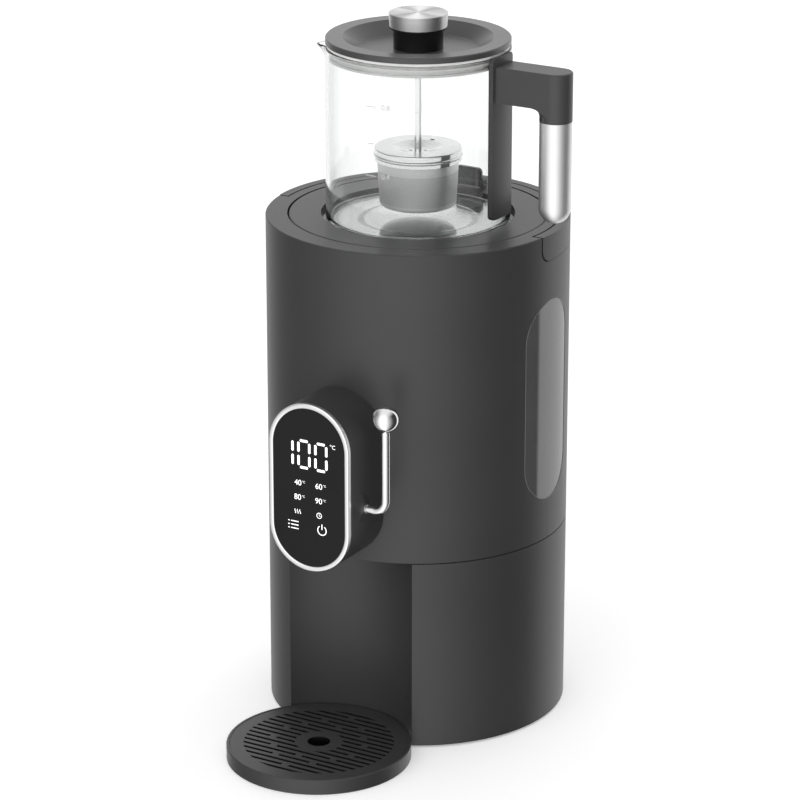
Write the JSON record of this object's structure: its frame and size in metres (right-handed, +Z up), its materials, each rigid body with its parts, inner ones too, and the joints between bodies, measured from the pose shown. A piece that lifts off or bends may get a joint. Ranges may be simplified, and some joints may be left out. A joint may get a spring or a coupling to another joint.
{
  "type": "automatic tea maker",
  "caption": "Tea maker with a round black water boiler, a front tap with a side lever, a drip tray and a lift-off glass tea pot with an infuser on its hot plate.",
  "frame": {"origin": "where the axis of the round body meets the table", "axes": "+Z up, -Y towards the user and the tap, +X towards the lever and the pot handle"},
  "size_m": [0.201, 0.2754, 0.4493],
  "materials": {
    "black_plastic": "matte, finely grained black",
    "gloss_black": "polished black",
    "chrome": "bright",
    "brushed_steel": "brushed",
    "clear_glass": "clear",
    "smoked_window": "smoked",
    "rubber": "matte",
    "silicone": "translucent grey silicone",
    "inner_plastic": "plain",
    "circuit_board": "solder mask",
    "brass": "plated",
    "aluminium": "pressed sheet"
  },
  "bodies": {
    "appliance": {"lower_housing": "black_plastic", "base_plate": "black_plastic", "rubber_feet": "rubber", "housing_screws": "brushed_steel", "mid_deck": "black_plastic", "upper_housing": "black_plastic", "water_tank": "brushed_steel", "tank_seal": "rubber", "tank_window": "smoked_window", "window_gasket": "rubber", "boiler_shell": "brushed_steel", "boiler_element": "brushed_steel", "temperature_sensor": "brushed_steel", "pump_housing": "inner_plastic", "pump_motor": "brushed_steel", "suction_hose": "silicone", "feed_hose": "silicone", "outlet_hose": "silicone", "main_circuit_board": "circuit_board", "board_standoffs": "inner_plastic", "power_supply": "inner_plastic", "power_relay": "inner_plastic", "power_inlet": "inner_plastic", "inlet_contacts": "brass", "pod_housing": "black_plastic", "pod_ring": "chrome", "display_glass": "gloss_black", "display_board": "circuit_board", "spout_nozzle": "black_plastic", "valve_body": "inner_plastic", "lever_bush": "black_plastic", "bail_pins": "brushed_steel"},
    "impeller": {"pump_rotor": "inner_plastic"},
    "valve_stem": {"valve_plunger": "brushed_steel"},
    "lever": {"lever_spindle": "chrome", "lever_rod": "chrome", "lever_ball": "chrome"},
    "bail": {"bail_handle": "black_plastic"},
    "tray": {"drip_tray": "black_plastic"},
    "grate": {"drip_grate": "black_plastic"},
    "cover": {"cover_ring": "black_plastic", "hot_plate": "brushed_steel", "plate_seal": "silicone", "plate_heater": "aluminium", "cover_pan": "aluminium", "tab_pin": "brushed_steel"},
    "pull_tab": {"latch_tab": "black_plastic"},
    "pot": {"pot_glass": "clear_glass", "handle_strap": "gloss_black", "handle_arm": "gloss_black", "handle_screws": "brushed_steel", "handle_grip": "brushed_steel"},
    "lid": {"pot_lid": "black_plastic", "lid_seal": "silicone", "knob_neck": "black_plastic", "knob_cap": "chrome", "upper_rod": "brushed_steel"},
    "infuser": {"lower_rod": "brushed_steel", "infuser_cover": "brushed_steel"},
    "basket": {"infuser_basket": "brushed_steel"}
  },
  "joints": [
    {"name": "impeller_spin", "type": "hinge", "parent": "appliance", "child": "impeller", "pos_m": [0.044, -0.032, 0], "axis": [0, 0, 1], "continuous": true},
    {"name": "lever_turn", "type": "hinge", "parent": "appliance", "child": "lever", "pos_m": [0, -0.118, 0.1695], "axis": [1, 0, 0], "range_deg": [0, 65], "stiffness_Nm_per_rad": 0.05},
    {"name": "valve_travel", "type": "slide", "parent": "appliance", "child": "valve_stem", "axis": [0, 0, -1], "range_m": [0, 0.00136]},
    {"name": "bail_swing", "type": "hinge", "parent": "appliance", "child": "bail", "pos_m": [0, -0.0028, 0.3184], "axis": [1, 0, 0], "range_deg": [0, 38]},
    {"name": "tray_slide", "type": "slide", "parent": "appliance", "child": "tray", "axis": [0, -1, 0], "range_m": [0, 0.08]},
    {"name": "grate_lift", "type": "slide", "parent": "tray", "child": "grate", "axis": [0, 0, 1], "range_m": [0, 0.03]},
    {"name": "cover_lift", "type": "slide", "parent": "appliance", "child": "cover", "axis": [0, 0, 1], "range_m": [0, 0.12]},
    {"name": "pull_tab_fold", "type": "hinge", "parent": "cover", "child": "pull_tab", "pos_m": [0, 0.068, 0.3256], "axis": [1, 0, 0], "range_deg": [-80, 0]},
    {"name": "pot_lift", "type": "slide", "parent": "cover", "child": "pot", "axis": [0, 0, 1], "range_m": [0, 0.12]},
    {"name": "lid_lift", "type": "slide", "parent": "pot", "child": "lid", "axis": [0, 0, 1], "range_m": [0, 0.11]},
    {"name": "infuser_release", "type": "slide", "parent": "lid", "child": "infuser", "axis": [0, 1, 0], "range_m": [0, 0.006]},
    {"name": "basket_pull", "type": "slide", "parent": "infuser", "child": "basket", "axis": [0, 0, -1], "range_m": [0, 0.0065]}
  ],
  "couplings": [
    {"joint": "valve_travel", "follows": "lever_turn", "m_per_rad": 0.0012}
  ]
}
